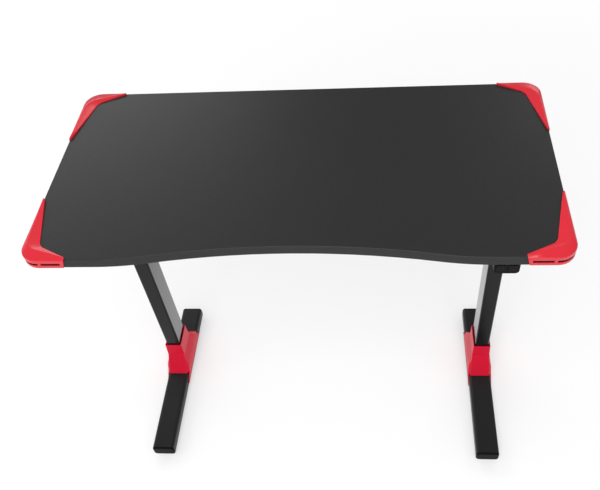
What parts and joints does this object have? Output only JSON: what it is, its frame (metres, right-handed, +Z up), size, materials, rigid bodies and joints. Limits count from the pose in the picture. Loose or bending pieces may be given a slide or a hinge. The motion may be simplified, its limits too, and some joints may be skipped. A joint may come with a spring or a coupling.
{
  "type": "height-adjustable gaming desk",
  "caption": "Electric sit-stand desk with a waisted carbon-look top, red corner guards and leg covers, and telescoping black columns on flat feet.",
  "frame": {"origin": "on the floor, under the middle of the desktop's outline, at the height shown in the picture", "axes": "+X along the front edge to the user's right, +Y away from the user, +Z up"},
  "size_m": [1.193, 0.593, 1.0195],
  "materials": {
    "black_powder_coat": "semi-gloss powder coat",
    "black_plastic": "fine satin grain",
    "black_rubber": "matt",
    "zinc_steel": "zinc plated",
    "bronze": "turned",
    "cast_aluminium": "as cast",
    "red_plastic": "satin moulded",
    "carbon_look_board": "film with a twill weave look, satin",
    "circuit_board": "solder mask",
    "grey_plastic": "satin"
  },
  "bodies": {
    "base": {"foot_bolts": "zinc_steel", "left_column_collar": "black_plastic", "left_foot": "black_powder_coat", "left_foot_front_cap": "black_plastic", "left_foot_rear_cap": "black_plastic", "left_front_cover": "red_plastic", "left_nut_tube": "zinc_steel", "left_outer_column": "black_powder_coat", "left_rear_cover": "red_plastic", "left_spindle_nut": "bronze", "right_column_collar": "black_plastic", "right_foot": "black_powder_coat", "right_foot_front_cap": "black_plastic", "right_foot_rear_cap": "black_plastic", "right_front_cover": "red_plastic", "right_nut_tube": "zinc_steel", "right_outer_column": "black_powder_coat", "right_rear_cover": "red_plastic", "right_spindle_nut": "bronze"},
    "top": {"control_box_lid": "black_plastic", "control_box_tray": "black_plastic", "desktop": "carbon_look_board", "frame_bolts": "zinc_steel", "front_left_guard": "red_plastic", "front_rail": "black_powder_coat", "front_right_guard": "red_plastic", "gear_motor": "black_powder_coat", "lead_sockets": "black_plastic", "left_column_glide": "black_plastic", "left_gear_housing": "cast_aluminium", "left_inner_column": "black_powder_coat", "left_spindle_bearing": "zinc_steel", "left_support_arm": "black_powder_coat", "mains_inlet": "black_plastic", "motor_bracket": "black_powder_coat", "rear_left_guard": "red_plastic", "rear_rail": "black_powder_coat", "rear_right_guard": "red_plastic", "right_column_glide": "black_plastic", "right_gear_housing": "cast_aluminium", "right_inner_column": "black_powder_coat", "right_spindle_bearing": "zinc_steel", "right_support_arm": "black_powder_coat", "switch_bezel": "black_plastic", "switch_circuit": "circuit_board", "switch_housing": "black_plastic", "wood_screws": "zinc_steel"},
    "shaft": {"drive_shaft": "zinc_steel", "left_shaft_gear": "zinc_steel", "right_shaft_gear": "zinc_steel"},
    "left_screw": {"left_spindle": "zinc_steel", "left_spindle_gear": "zinc_steel"},
    "right_screw": {"right_spindle": "zinc_steel", "right_spindle_gear": "zinc_steel"},
    "up_key": {"up_button": "grey_plastic"},
    "down_key": {"down_button": "grey_plastic"},
    "left_front_leveller": {"left_front_leveller": "black_rubber"},
    "left_rear_leveller": {"left_rear_leveller": "black_rubber"},
    "right_front_leveller": {"right_front_leveller": "black_rubber"},
    "right_rear_leveller": {"right_rear_leveller": "black_rubber"}
  },
  "joints": [
    {"name": "lift", "type": "slide", "parent": "base", "child": "top", "axis": [0, 0, 1], "range_m": [-0.294, 0.166]},
    {"name": "shaft_turn", "type": "hinge", "parent": "top", "child": "shaft", "pos_m": [0, 0.092, 0.9662], "axis": [1, 0, 0], "range_deg": [-10800, 6300]},
    {"name": "left_spindle_turn", "type": "hinge", "parent": "top", "child": "left_screw", "pos_m": [-0.516, 0.092, 0.9662], "axis": [0, 0, 1], "range_deg": [-10800, 6300]},
    {"name": "right_spindle_turn", "type": "hinge", "parent": "top", "child": "right_screw", "pos_m": [0.516, 0.092, 0.9662], "axis": [0, 0, 1], "range_deg": [-10800, 6300]},
    {"name": "up_press", "type": "slide", "parent": "top", "child": "up_key", "axis": [0, 1, 0], "range_m": [0, 0.0012], "stiffness_N_per_m": 600, "springref_m": -0.001},
    {"name": "down_press", "type": "slide", "parent": "top", "child": "down_key", "axis": [0, 1, 0], "range_m": [0, 0.0012], "stiffness_N_per_m": 600, "springref_m": -0.001},
    {"name": "left_front_level", "type": "slide", "parent": "base", "child": "left_front_leveller", "axis": [0, 0, -1], "range_m": [0, 0.01]},
    {"name": "left_rear_level", "type": "slide", "parent": "base", "child": "left_rear_leveller", "axis": [0, 0, -1], "range_m": [0, 0.01]},
    {"name": "right_front_level", "type": "slide", "parent": "base", "child": "right_front_leveller", "axis": [0, 0, -1], "range_m": [0, 0.01]},
    {"name": "right_rear_level", "type": "slide", "parent": "base", "child": "right_rear_leveller", "axis": [0, 0, -1], "range_m": [0, 0.01]}
  ],
  "couplings": [
    {"joint": "shaft_turn", "follows": "lift", "rad_per_m": 628.32},
    {"joint": "left_spindle_turn", "follows": "lift", "rad_per_m": 628.32},
    {"joint": "right_spindle_turn", "follows": "lift", "rad_per_m": 628.32}
  ]
}
